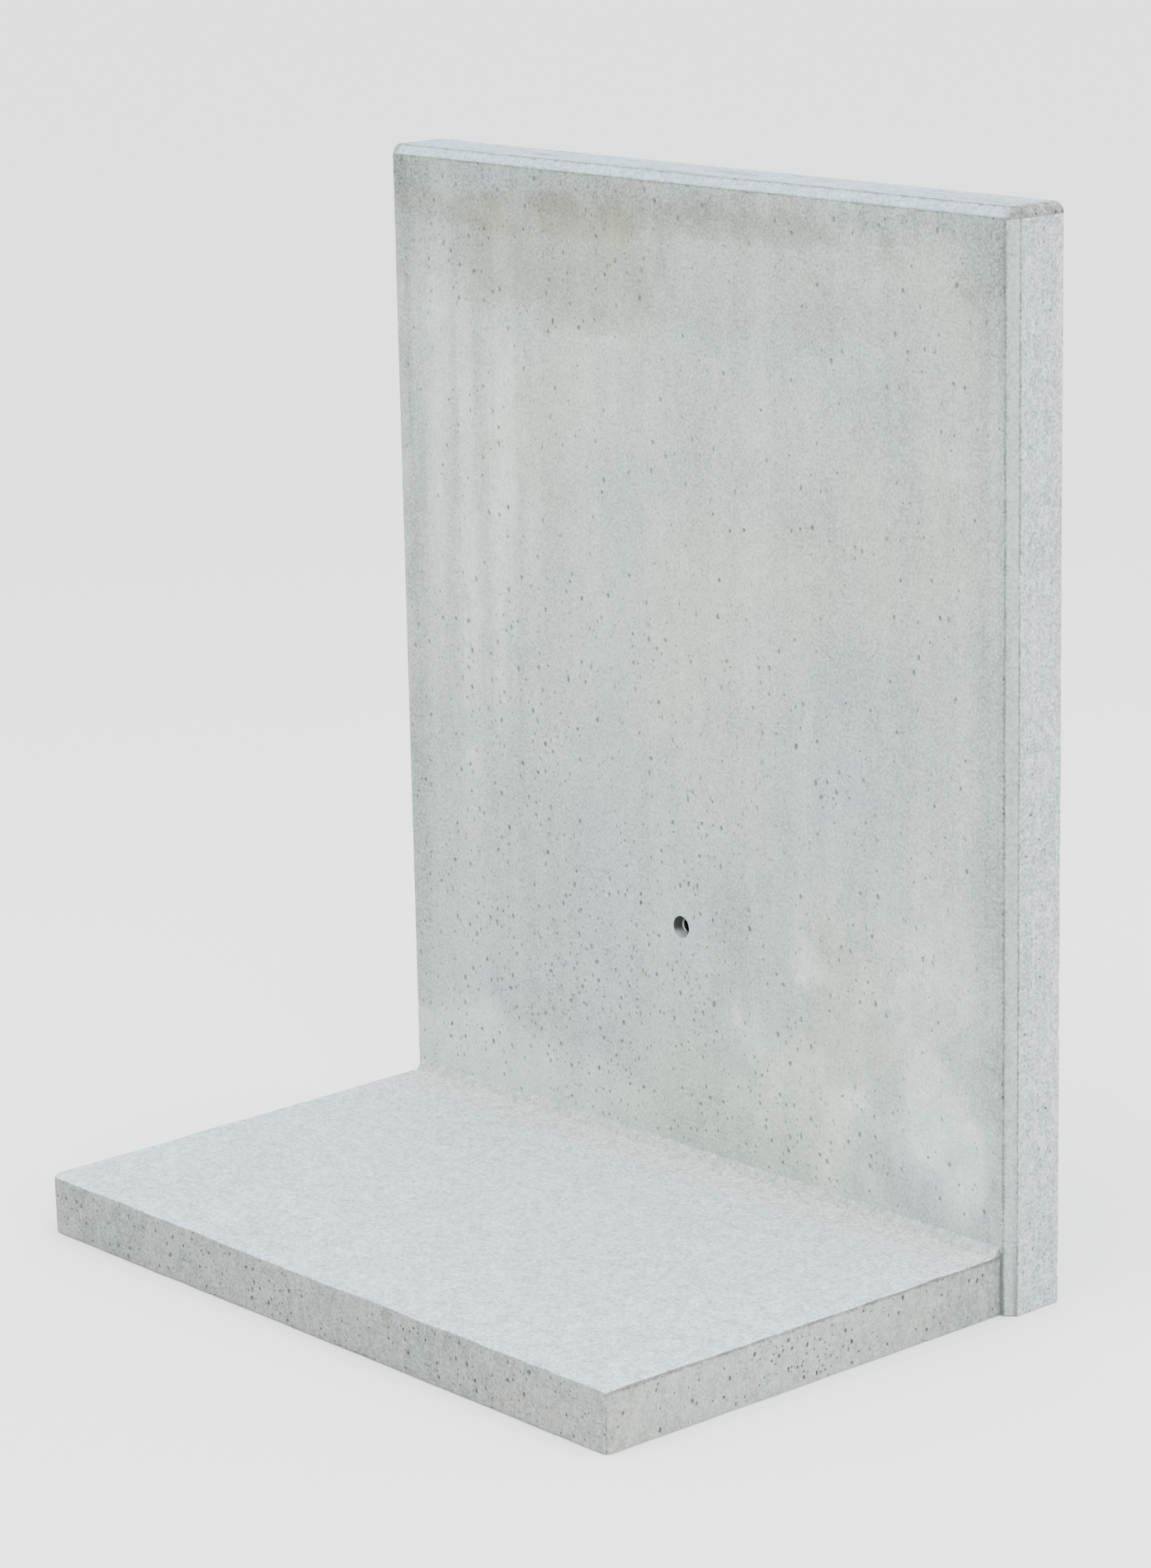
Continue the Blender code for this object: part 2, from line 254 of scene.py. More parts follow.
def size_of(outline):
    """How far an outline reaches from its first corner."""
    first = outline[0][0].co
    return max((corner.co - first).length for corner, _ in outline)


def outlines(group):
    """A group's outlines, the outermost first, as lists of (corner, edge) with the faces on their left."""
    inside = set(group)
    following = {}
    for face in group:
        for loop in face.loops:
            edge = loop.edge
            if not all(other in inside for other in edge.link_faces):
                following[loop.vert] = (loop.link_loop_next.vert, edge)
    found = []
    while following:
        start = next(iter(following))
        outline = []
        corner = start
        while corner in following:
            after, edge = following.pop(corner)
            outline.append((corner, edge))
            corner = after
        found.append(outline)
    return sorted(found, key=size_of, reverse=True)


def panel_kind(normal, low, high):
    """Which of the styles a flat group of faces has, from its direction and its box."""
    middle = (low + high) / 2
    near_socket = from_socket_axis(middle) < RECESS_RADIUS and high.x - low.x < 3 * RECESS_RADIUS
    if near_socket and middle.y > WALL_FRONT:
        return "recess"
    if low.z > WALL_TOP - 2 * TOP_END_RADIUS:
        return "round" if high.x - low.x < TOP_END_RADIUS else "wall_top"
    if normal.y > FACING:
        return "back"
    if normal.z < -FACING:
        return "under"
    if normal.z > FACING:
        return "foot_top"
    if normal.y < -FACING:
        return "inner" if middle.y > WALL_FRONT - ROUND_FIT else "foot_edge"
    if abs(normal.x) > FACING:
        return "side" if middle.y > WALL_FRONT else "foot_edge"
    if middle.y > WALL_FRONT:
        return "chamfer"
    if middle.y > WALL_FRONT - 2 * CHAMFER and normal.z > 0.5:
        return "bead"
    return "arris" if normal.z > 0.3 else "foot_edge"


# Dividing a panel.


def edge_points(start, end):
    """The points along a shared edge, the same from either side, without its last one."""
    if on_seat_rim(start) and on_seat_rim(end):
        return [start.copy()]
    curved = on_end_round(start) and on_end_round(end) and start.x * end.x > 0
    by_bead = all(
        abs(point.z - FOOT_TOP) < CHAMFER and abs(point.y - WALL_FRONT) < CHAMFER + ROUND_FIT
        for point in (start, end)
    )
    step = BEAD_STEP if by_bead else EDGE_STEP
    if curved or (on_recess(start) and on_recess(end)):
        step = ROUND_STEP
    flipped = tuple(end) < tuple(start)
    first, last = (end, start) if flipped else (start, end)
    count = max(1, round((last - first).length / step))
    points = [first.lerp(last, i / count) for i in range(count + 1)]
    if curved:
        points = [points[0], *[made_round(point) for point in points[1:-1]], points[-1]]
    if flipped:
        points.reverse()
    return points[:-1]


def distance_to_outline(points, starts, ends):
    """The distance of each 2-D point from the nearest of some line segments."""
    along = ends - starts
    length2 = np.maximum((along**2).sum(1), 1e-18)
    nearest = np.full(len(points), np.inf)
    for start, run, size in zip(starts, along, length2):
        share = np.clip(((points - start) @ run) / size, 0.0, 1.0)
        away = points - start - share[:, None] * run
        nearest = np.minimum(nearest, (away**2).sum(1))
    return np.sqrt(nearest)


def inside_outline(points, starts, ends):
    """Whether each 2-D point is inside, by the number of sides that a ray from it crosses."""
    crossings = np.zeros(len(points), int)
    for start, end in zip(starts, ends):
        if start[1] == end[1]:
            continue
        spans = (points[:, 1] > start[1]) != (points[:, 1] > end[1])
        reach = start[0] + (points[:, 1] - start[1]) * (end[0] - start[0]) / (end[1] - start[1])
        crossings += spans & (points[:, 0] < reach)
    return crossings % 2 == 1


def grid_points(low, high, step, rng):
    """A grid of points, each moved a little at random so that no rows show."""
    across = np.arange(low[0] + step / 2, high[0], step)
    up = np.arange(low[1] + step / 2, high[1], step)
    grid = np.stack(np.meshgrid(across, up), -1).reshape(-1, 2)
    return grid + rng.uniform(-GRID_JITTER, GRID_JITTER, grid.shape) * step


def arris_points(starts, ends, away):
    """Points at a distance inside each side's middle."""
    along = ends - starts
    length = np.maximum(np.hypot(along[:, 0], along[:, 1]), 1e-9)[:, None]
    left = np.stack([-along[:, 1], along[:, 0]], 1) / length
    return (starts + ends) / 2 + left * away


def hole_share(kind, place):
    """How likely a bug hole is at a place: the inner face has most of them low down and to the left."""
    cloud = 0.5 + 0.9 * noise.noise(place * 7.0)
    if kind != "inner":
        return cloud
    low = 1.0 - min(1.0, max(0.0, (place.z - 0.25) / 0.75))
    left = max(0.0, min(1.0, 0.75 - 1.6 * place.x / (2 * HALF_WIDTH)))
    stained = 0.25 if place.z > 1.02 and place.x < 0.05 else 0.0
    return cloud * (0.22 + stained + 0.90 * low**1.2 * left) * 1.5


def bug_holes(panel, rng):
    """The bug holes of a panel, as rows of centre u, centre v, radius and shade, none of them touching."""
    style = panel.style
    low, high = panel.low, panel.high
    wanted = int(style.holes * (high[0] - low[0]) * (high[1] - low[1]))
    if not wanted:
        return np.zeros((0, 4))
    smallest, largest = style.radii
    centres = rng.uniform(low, high, (wanted, 2))
    radii = smallest + (largest - smallest) * rng.uniform(0.0, 1.0, wanted) ** 2.8
    order = np.argsort(-radii)
    centres, radii = centres[order], radii[order]
    clear = distance_to_outline(centres, panel.starts, panel.ends) > radii + ARRIS_ROWS[0] + HOLE_EDGE_GAP
    clear &= inside_outline(centres, panel.starts, panel.ends)
    chance = rng.uniform(0.0, 1.0, wanted)
    shades = rng.uniform(*style.shades, wanted)
    kept = []
    if panel.kind == "inner":
        for across, up in BLACK_PITS:
            place = Vector((SOCKET_AXIS.x + across, WALL_FRONT, SOCKET_AXIS.z + up))
            kept.append((*panel.to_flat(place), BLACK_PIT_RADIUS, 1.0))
    for centre, radius, shade, fits, luck in zip(centres, radii, shades, clear, chance):
        if not fits or luck > hole_share(panel.kind, panel.to_space(centre)):
            continue
        if kept:
            others = np.array(kept)
            gaps = np.hypot(others[:, 0] - centre[0], others[:, 1] - centre[1])
            if (gaps < 1.5 * (others[:, 2] + radius) + HOLE_GAP).any():
                continue
        kept.append((centre[0], centre[1], radius, shade))
    return np.array(kept).reshape(-1, 4)


def hole_rings(holes, rng):
    """Each bug hole's points as rows of u, v, depth and darkness, the darkness being painted shade and dirt:
    its rim, its wall if wide, its bottom.
    """
    rows = []
    for u, v, radius, shade in holes:
        tall = rng.uniform(1.05, 1.65)
        turn = rng.uniform(-0.3, 0.3)
        depth = radius * rng.uniform(0.5, 1.0)
        wide = radius > WIDE_HOLE
        sides = 9 if wide else 6
        first = rng.uniform(0.0, 1.0)
        rings = [(1.0, 0.0, 0.0, sides)]
        if wide:
            rings.append((0.70, 0.7, shade, 6))
        for share, sunk, dark, count in rings:
            for i in range(count):
                angle = math.tau * (i + first) / count
                reach = radius * share * rng.uniform(0.82, 1.12)
                a = reach * math.cos(angle)
                b = reach * math.sin(angle) * tall
                x = a * math.cos(turn) - b * math.sin(turn)
                y = a * math.sin(turn) + b * math.cos(turn)
                rows.append((u + x, v + y, depth * sunk, dark))
        rows.append((u, v, depth, shade))
    return np.array(rows).reshape(-1, 4)


class Skin:
    """Triangles gathered panel by panel, in which panels that meet share their points."""

    def __init__(self):
        self.found = {}
        self.points = []
        self.panels = []
        self.depth = []
        self.dark = []
        self.worn = []
        self.faces = []
        self.finish = []

    def point(self, place, normal=None, kind=None, depth=0.0, dark=0.0, worn=0.0):
        key = tuple(round(value * 1e6) for value in place)
        index = self.found.get(key)
        if index is None:
            index = len(self.points)
            self.found[key] = index
            self.points.append(place)
            self.panels.append([])
            self.depth.append(depth)
            self.dark.append(dark)
            self.worn.append(worn)
        if kind is not None:
            self.panels[index].append((normal, kind))
        self.worn[index] = max(self.worn[index], worn)
        self.dark[index] = max(self.dark[index], dark)
        return index


def wear_at(place):
    """How far an arris is rubbed back at a place: a little everywhere, with chips here and there."""
    fine = abs(noise.noise(place * 160.0))
    chip = max(0.0, noise.noise(place * 42.0) - 0.42)
    soft = 0.0012 * max(0.0, 0.5 + noise.noise(place * 28.0)) if place.y < BODY_LOW.y + 0.006 else 0.0
    return 0.00020 + 0.0004 * fine**1.5 + 0.0070 * chip + soft


def grime_and_shade_at(place, kinds):
    """How dark an arris is at a place, from the two kinds of panel that meet there: grime on most, and
    painted shade on a few.
    """
    ragged = noise.noise(place * 55.0) + 0.6 * noise.noise(place * 170.0)
    if kinds == {"inner", "chamfer"}:
        return max(0.0, min(1.0, 0.35 + 1.5 * ragged))
    if kinds == {"chamfer", "side"}:
        return 0.42 + 0.25 * ragged
    if kinds == {"wall_top"}:
        return max(0.0, 0.35 + 0.9 * ragged)
    if kinds == {"inner", "wall_top"}:
        return max(0.0, 0.9 * ragged)
    # Painted shade in the narrow gap where the chamfer meets the foot's side.
    if kinds == {"chamfer", "foot_edge"}:
        return 0.85
    # Along the foot top's right-hand edge: a dark line, partly dirt and partly painted shade.
    if kinds in ({"arris", "foot_edge"}, {"foot_top", "foot_edge"}):
        return max(0.0, 0.25 + 0.8 * ragged) if place.x > 0 and place.y > BODY_LOW.y + 0.02 else 0.0
    return 0.0


class Panel:
    """One flat group of faces, with its style and its own coordinates: u across it and v up it."""

    def __init__(self, group, kinds):
        self.kind = kinds[group[0]]
        self.style = STYLES[self.kind]
        self.normal = group[0].normal.copy()
        up = Vector((0, 0, 1)) if abs(self.normal.z) < FACING else Vector((0, 1, 0))
        self.across = up.cross(self.normal).normalized()
        self.up = self.normal.cross(self.across)
        self.origin = group[0].verts[0].co.copy()

    def to_flat(self, place):
        away = place - self.origin
        return (away.dot(self.across), away.dot(self.up))

    def to_space(self, flat):
        return self.origin + self.across * float(flat[0]) + self.up * float(flat[1])

    def trace(self, group, kinds, skin):
        """Adds the points along the group's outlines to the skin, and keeps the sides between them."""
        self.spots = []
        self.indices = []
        loops = []
        for outline in outlines(group):
            first = len(self.spots)
            corners = [corner.co for corner, _ in outline]
            for (corner, edge), after in zip(outline, corners[1:] + corners[:1]):
                near = {kinds.get(face, "seat") for face in edge.link_faces}
                bent = len(edge.link_faces) == 2 and edge.calc_face_angle(0.0) > BEND_ANGLE
                worn = bent and edge.is_convex and not near & {"recess", "seat"}
                for place in edge_points(corner.co, after):
                    dark = grime_and_shade_at(place, near) if bent else 0.0
                    wear = wear_at(place) if worn else 0.0
                    self.spots.append(self.to_flat(place))
                    self.indices.append(skin.point(place, self.normal, self.kind, dark=dark, worn=wear))
            loops.append(list(range(first, len(self.spots))))
        flat = np.array(self.spots)
        self.rim = len(loops[0])
        self.sides = [(i, j) for loop in loops for i, j in zip(loop, loop[1:] + loop[:1])]
        self.starts = flat[[i for i, _ in self.sides]]
        self.ends = flat[[j for _, j in self.sides]]
        self.low, self.high = flat.min(0), flat.max(0)

    def loose_points(self, holes, rng):
        """Points inside the outlines: rows beside each side, then a grid, all clear of the bug holes."""
        loose = []
        for away in ARRIS_ROWS:
            row = arris_points(self.starts, self.ends, away)
            row = row[distance_to_outline(row, self.starts, self.ends) > 0.9 * away]
            loose.append(row[inside_outline(row, self.starts, self.ends)])
        grid = grid_points(self.low, self.high, self.style.grid, rng)
        grid = grid[inside_outline(grid, self.starts, self.ends)]
        clear = min(GRID_SHARE * self.style.grid, GRID_CLEAR)
        loose.append(grid[distance_to_outline(grid, self.starts, self.ends) > clear])
        loose = np.concatenate(loose)
        for u, v, radius, _ in holes:
            loose = loose[np.hypot(loose[:, 0] - u, loose[:, 1] - v) > 1.6 * radius + HOLE_MARGIN]
        return loose

    def triangles(self, extra):
        """The triangles between its outlines' points and the extra ones, except over an inner opening."""
        flat = [Vector(spot) for spot in self.spots] + [Vector(row[:2]) for row in extra]
        made = delaunay_2d_cdt(flat, self.sides, [], ENCLOSED, MERGE_DISTANCE)
        verts, triangles, sources = made[0], made[2], made[3]
        middles = np.array([
            sum((np.array(verts[i]) for i in corners), np.zeros(2)) / 3
            for corners in triangles
        ])
        opening = inside_outline(middles, self.starts[self.rim :], self.ends[self.rim :])
        return [
            [sources[i][0] for i in corners]
            for corners, is_open in zip(triangles, opening)
            if not is_open
        ]


def add_panel(skin, group, kinds, rng):
    """Divides one flat group of faces, with its bug holes, and adds its triangles to the skin."""
    panel = Panel(group, kinds)
    panel.trace(group, kinds, skin)
    holes = bug_holes(panel, rng)
    rings = hole_rings(holes, rng)
    extra = [(u, v, 0.0, 0.0) for u, v in panel.loose_points(holes, rng)] + [tuple(row) for row in rings]
    indices = list(panel.indices)
    for u, v, depth, dark in extra:
        place = panel.to_space((u, v))
        if panel.kind == "round":
            place = made_round(place)
        indices.append(skin.point(place, panel.normal, panel.kind, depth=depth, dark=dark))
    for triangle in panel.triangles(extra):
        skin.faces.append([indices[i] for i in triangle])
        skin.finish.append(FINISHES.index(panel.style.finish))


def relief(place, kind):
    """The height of a panel's waves at a place."""
    return sum(
        height * noise.noise(place / length + Vector((3.1, 7.7, 1.3)))
        for height, length in STYLES[kind].waves
    )


def corner_rounded(place):
    """A place moved so that the foot's two front corners are round in plan, the left one most."""
    radius = FOOT_CORNER_RADII[place.x > 0]
    side = math.copysign(1.0, place.x)
    u = (side * place.x - (FOOT_FRONT_HALF - radius)) / radius
    v = (BODY_LOW.y + radius - place.y) / radius
    if u <= 0.0 or v <= 0.0 or place.z > FOOT_TOP + CHAMFER:
        return place
    share = max(u, v) / math.hypot(u, v)
    x = FOOT_FRONT_HALF - radius + u * share * radius
    return Vector((side * x, BODY_LOW.y + radius - v * share * radius, place.z))


def displaced(skin):
    """Each point moved off its panels: by their waves, down into a hole, and back where an arris is worn."""
    moved = []
    for place, panels, depth, worn in zip(skin.points, skin.panels, skin.depth, skin.worn):
        if not panels:
            moved.append(place)
            continue
        normals = np.array([normal for normal, _ in panels])
        heights = np.array([relief(place, kind) - depth - worn for _, kind in panels])
        shift = np.linalg.lstsq(normals, heights, rcond=0.15)[0]
        moved.append(corner_rounded(place) + Vector(shift))
    return moved


def kinds_of(groups):
    """The kind of each face, from the group it belongs to."""
    kinds = {}
    for group in groups:
        corners = np.array([vert.co for face in group for vert in face.verts])
        kind = panel_kind(group[0].normal, Vector(corners.min(0)), Vector(corners.max(0)))
        kinds.update(dict.fromkeys(group, kind))
    return kinds


def make_skin(bm):
    """The casting's outer faces divided finely, and the faces of its inner channels as they are."""
    outer = outer_faces(bm)
    groups = flat_groups(outer)
    kinds = kinds_of(groups)
    skin = Skin()
    rng = np.random.default_rng(SEED)
    for group in groups:
        add_panel(skin, group, kinds, rng)
    for face in bm.faces:
        if face not in outer:
            skin.faces.append([skin.point(vert.co.copy()) for vert in face.verts])
            skin.finish.append(FINISHES.index("recess"))
    seat = {skin.point(vert.co.copy()) for face in outer for vert in face.verts if on_seat_rim(vert.co)}
    for index in seat:
        skin.panels[index] = []
    return skin


def make_casting():
    """The casting as one closed mesh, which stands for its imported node."""
    bm = bmesh.new()
    bm.from_mesh(frame["nodes"]["concrete_body"].data)
    bmesh.ops.remove_doubles(bm, verts=bm.verts, dist=WELD_DISTANCE)
    bm.normal_update()
    bm.faces.index_update()
    skin = make_skin(bm)
    mesh = bpy.data.meshes.new("casting")
    mesh.from_pydata(displaced(skin), [], skin.faces)
    bm.free()
    mesh.polygons.foreach_set("material_index", skin.finish)
    # The darkness painted into the colour: painted shade and dirt in the bug holes, grime and some painted
    # shade along the arrises.
    dark = mesh.attributes.new("dark", "FLOAT", "POINT")
    dark.data.foreach_set("value", np.array(skin.dark, np.float32))
    mesh.update()
    mesh.shade_smooth()
    mesh.set_sharp_from_angle(angle=SHARP_ANGLE)
    casting = bpy.data.objects.new("casting", mesh)
    bpy.context.scene.collection.objects.link(casting)
    for finish in FINISHES:
        mesh.materials.append(CONCRETES[finish]())
    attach(casting, "root")
    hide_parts("concrete_body")


# Materials.


class Paint:
    """A material under construction: short ways to make its nodes and join them."""

    def __init__(self, name, roughness, metallic=0.0, specular=0.35):
        self.material = bpy.data.materials.new(name)
        self.material.use_nodes = True
        self.nodes = self.material.node_tree.nodes
        self.links = self.material.node_tree.links
        self.shader = self.nodes["Principled BSDF"]
        self.shader.inputs["Roughness"].default_value = roughness
        self.shader.inputs["Metallic"].default_value = metallic
        self.shader.inputs["Specular IOR Level"].default_value = specular
        self.place = self.nodes.new("ShaderNodeTexCoord").outputs["Object"]

    def feed(self, socket, value):
        if isinstance(value, bpy.types.NodeSocket):
            self.links.new(value, socket)
        else:
            socket.default_value = value

    def math(self, operation, *values):
        node = self.nodes.new("ShaderNodeMath")
        node.operation = operation
        for socket, value in zip(node.inputs, values):
            self.feed(socket, value)
        return node.outputs[0]

    def step(self, value, low, high, start=0.0, end=1.0):
        """A smooth step from start to end as value goes from low to high."""
        node = self.nodes.new("ShaderNodeMapRange")
        node.interpolation_type = "SMOOTHSTEP"
        for name, given in zip(
            ("Value", "From Min", "From Max", "To Min", "To Max"), (value, low, high, start, end)
        ):
            self.feed(node.inputs[name], given)
        return node.outputs["Result"]

    def mix(self, share, first, second):
        node = self.nodes.new("ShaderNodeMix")
        node.data_type = "RGBA"
        self.feed(node.inputs[0], share)
        self.feed(node.inputs[6], first)
        self.feed(node.inputs[7], second)
        return node.outputs[2]

    def scaled(self, colour, factor):
        node = self.nodes.new("ShaderNodeVectorMath")
        node.operation = "SCALE"
        self.feed(node.inputs[0], colour if isinstance(colour, bpy.types.NodeSocket) else colour[:3])
        self.feed(node.inputs["Scale"], factor)
        return node.outputs[0]

    def stretched(self, stretch, offset):
        """The place in space, stretched along each axis and moved by an offset."""
        node = self.nodes.new("ShaderNodeMapping")
        node.inputs["Scale"].default_value = stretch
        node.inputs["Location"].default_value = (offset, offset * 0.7, offset * 1.3)
        self.links.new(self.place, node.inputs["Vector"])
        return node.outputs["Vector"]

    def noise(self, length, detail=3.0, stretch=(1, 1, 1), offset=0.0, roughness=0.55, warp=0.0):
        """Noise whose features are about that length across, in metres."""
        node = self.nodes.new("ShaderNodeTexNoise")
        node.inputs["Scale"].default_value = 1.0 / length
        node.inputs["Detail"].default_value = detail
        node.inputs["Roughness"].default_value = roughness
        node.inputs["Distortion"].default_value = warp
        self.links.new(self.stretched(stretch, offset), node.inputs["Vector"])
        return node.outputs["Fac"]

    def specks(self, length, size, offset=0.0, stretch=(1, 1, 1)):
        """One where a small round speck is, scattered about that length apart."""
        node = self.nodes.new("ShaderNodeTexVoronoi")
        node.inputs["Scale"].default_value = 1.0 / length
        self.links.new(self.stretched(stretch, offset), node.inputs["Vector"])
        chosen = self.nodes.new("ShaderNodeSeparateColor")
        self.links.new(node.outputs["Color"], chosen.inputs["Color"])
        radius = self.math("MULTIPLY", chosen.outputs[0], size)
        return self.step(self.math("SUBTRACT", radius, node.outputs["Distance"]), 0.0, size * 0.25)

    def spread(self, value):
        """A noise with its contrast raised until it fills nearly all of nought to one."""
        return self.step(value, 0.32, 0.68)

    def seam(self, which, where, width, wobble=0.0):
        """One along a thin line that crosses an axis at a place."""
        away = self.math("ABSOLUTE", self.math("SUBTRACT", self.axis(which), where))
        return self.step(self.math("ADD", away, wobble), width * 0.25, width, 1.0, 0.0)

    def darken(self, colour, share, mask, dark):
        """A colour turned part of the way to a dark one where the mask is one."""
        return self.mix(self.math("MULTIPLY", mask, share), colour, dark)

    def total(self, start, *parts):
        """A start value plus each (amount, noise) part, with the noise counted from its middle."""
        value = start
        for amount, part in parts:
            value = self.math("MULTIPLY_ADD", self.math("SUBTRACT", part, 0.5), amount, value)
        return value

    def axis(self, which):
        node = self.nodes.new("ShaderNodeSeparateXYZ")
        self.links.new(self.place, node.inputs[0])
        return node.outputs["XYZ".index(which)]

    def darkness(self):
        """How dark the mesh says that a place is: painted shade and dirt in its holes, and grime, with
        painted shade in places, along its arrises.
        """
        node = self.nodes.new("ShaderNodeAttribute")
        node.attribute_name = "dark"
        return self.step(node.outputs["Fac"], 0.08, 0.95)

    def rough(self, value):
        self.feed(self.shader.inputs["Roughness"], value)

    def bump(self, height, distance):
        """Fine relief on top of the mesh's own shape."""
        node = self.nodes.new("ShaderNodeBump")
        node.inputs["Distance"].default_value = distance
        self.feed(node.inputs["Height"], height)
        self.links.new(node.outputs["Normal"], self.shader.inputs["Normal"])

    def done(self, colour):
        self.feed(self.shader.inputs["Base Color"], colour)
        return self.material


def tone(red, green, blue):
    return (red, green, blue, 1.0)


COOL = tone(0.349, 0.412, 0.397)
WARM = tone(0.350, 0.397, 0.348)
BROWN = tone(0.205, 0.200, 0.150)
RUST = tone(0.230, 0.190, 0.140)
PALE = tone(0.530, 0.622, 0.665)
# The dark of pits, also used as painted shade in bug holes, in a gap and in a corner.
PIT_AND_SHADE = tone(0.105, 0.115, 0.107)
BLACK = tone(0.050, 0.050, 0.045)
CRUMB = tone(0.130, 0.090, 0.060)


def blob(paint, x, z, reach_x, reach_z, wobble):
    """A soft patch on the wall about a place, with a ragged outline."""
    away_x = paint.math("DIVIDE", paint.math("SUBTRACT", paint.axis("X"), x), reach_x)
    away_z = paint.math("DIVIDE", paint.math("SUBTRACT", paint.axis("Z"), z), reach_z)
    away = paint.math("ADD", paint.math("POWER", away_x, 2.0), paint.math("POWER", away_z, 2.0))
    return paint.step(paint.math("ADD", away, wobble), 0.15, 1.5, 1.0, 0.0)


def grain(paint):
    """The sandy grain that every face has, as noises of three sizes."""
    sizes = ((0.0010, 2.0, 0.0), (0.0036, 2.0, 1.7), (0.0120, 3.0, 4.1))
    return [paint.spread(paint.noise(length, detail, offset=offset)) for length, detail, offset in sizes]


def dark_line(paint, which, where, width):
    """A thin dark line with slightly ragged sides, stronger in some places than in others."""
    ragged = paint.total(0.0, (0.8 * width, paint.spread(paint.noise(0.004, 2.0, offset=13.0))))
    strength = paint.total(0.75, (0.50, paint.spread(paint.noise(0.020, 4.0, offset=21.0))))
    return paint.math("MULTIPLY", paint.seam(which, where, width, ragged), strength)


def edge_line(paint, colour, which, where, width):
    """A colour with a dark line along an edge, and with small black pits scattered along it."""
    colour = paint.darken(colour, 0.95, dark_line(paint, which, where, width), PIT_AND_SHADE)
    pits = paint.math("MULTIPLY", paint.specks(0.0080, 0.30, 23.0), paint.seam(which, where, 2.2 * width))
    return paint.darken(colour, 0.85, pits, BLACK)


# The brown stain, as soft patches: how strong each is, its middle along X and Z, and its reach along them.
STAINS = (
    (0.62, -0.27, 1.136, 0.20, 0.026),
    (0.34, 0.02, 1.150, 0.26, 0.020),
    (0.46, -0.18, 1.085, 0.20, 0.070),
    (0.24, -0.05, 1.100, 0.45, 0.085),
)

# The inner face's other soft patches: how much darker each is, or lighter below nought, its middle and reach.
SHADES = (
    (0.10, 0.30, 0.76, 0.15, 0.20),
    (0.05, 0.33, 1.05, 0.17, 0.10),
    (0.05, -0.30, 0.35, 0.30, 0.28),
    (-0.28, 0.27, 0.22, 0.22, 0.14),
    (-0.34, -0.36, 0.10, 0.24, 0.07),
    (0.12, 0.43, 1.15, 0.12, 0.05),
    (0.12, -0.10, 1.17, 0.45, 0.03),
    (0.06, -0.46, 1.15, 0.05, 0.05),
)


def formed_level(paint, clouds, patches, streaks, wobble):
    """How light the inner face is at each place: broad clouds, upright streaks and a few soft patches."""
    sides = paint.step(paint.math("ABSOLUTE", paint.axis("X")), 0.43, 0.475)
    top = paint.step(paint.axis("Z"), WALL_TOP - 0.075, WALL_TOP - 0.02)
    upper = paint.step(paint.axis("Z"), 0.25, 0.60)
    uneven = paint.math("SUBTRACT", patches, 0.5)
    low_right = blob(paint, 0.28, 0.26, 0.24, 0.18, wobble)
    high_left = blob(paint, -0.38, 0.78, 0.13, 0.32, wobble)
    masks = [(amount, blob(paint, *place, wobble)) for amount, *place in SHADES]
    masks += [
        (0.09, upper),
        (-0.45, paint.math("MULTIPLY", uneven, low_right)),
        (-0.22, paint.math("MULTIPLY", streaks, high_left)),
        (0.21, sides),
        (0.24, paint.math("MULTIPLY", top, patches)),
    ]
    level = paint.total(1.0, (0.10, clouds), (0.12, patches), (0.09, streaks))
    for amount, mask in masks:
        level = paint.math("MULTIPLY_ADD", mask, -amount, level)
    return level


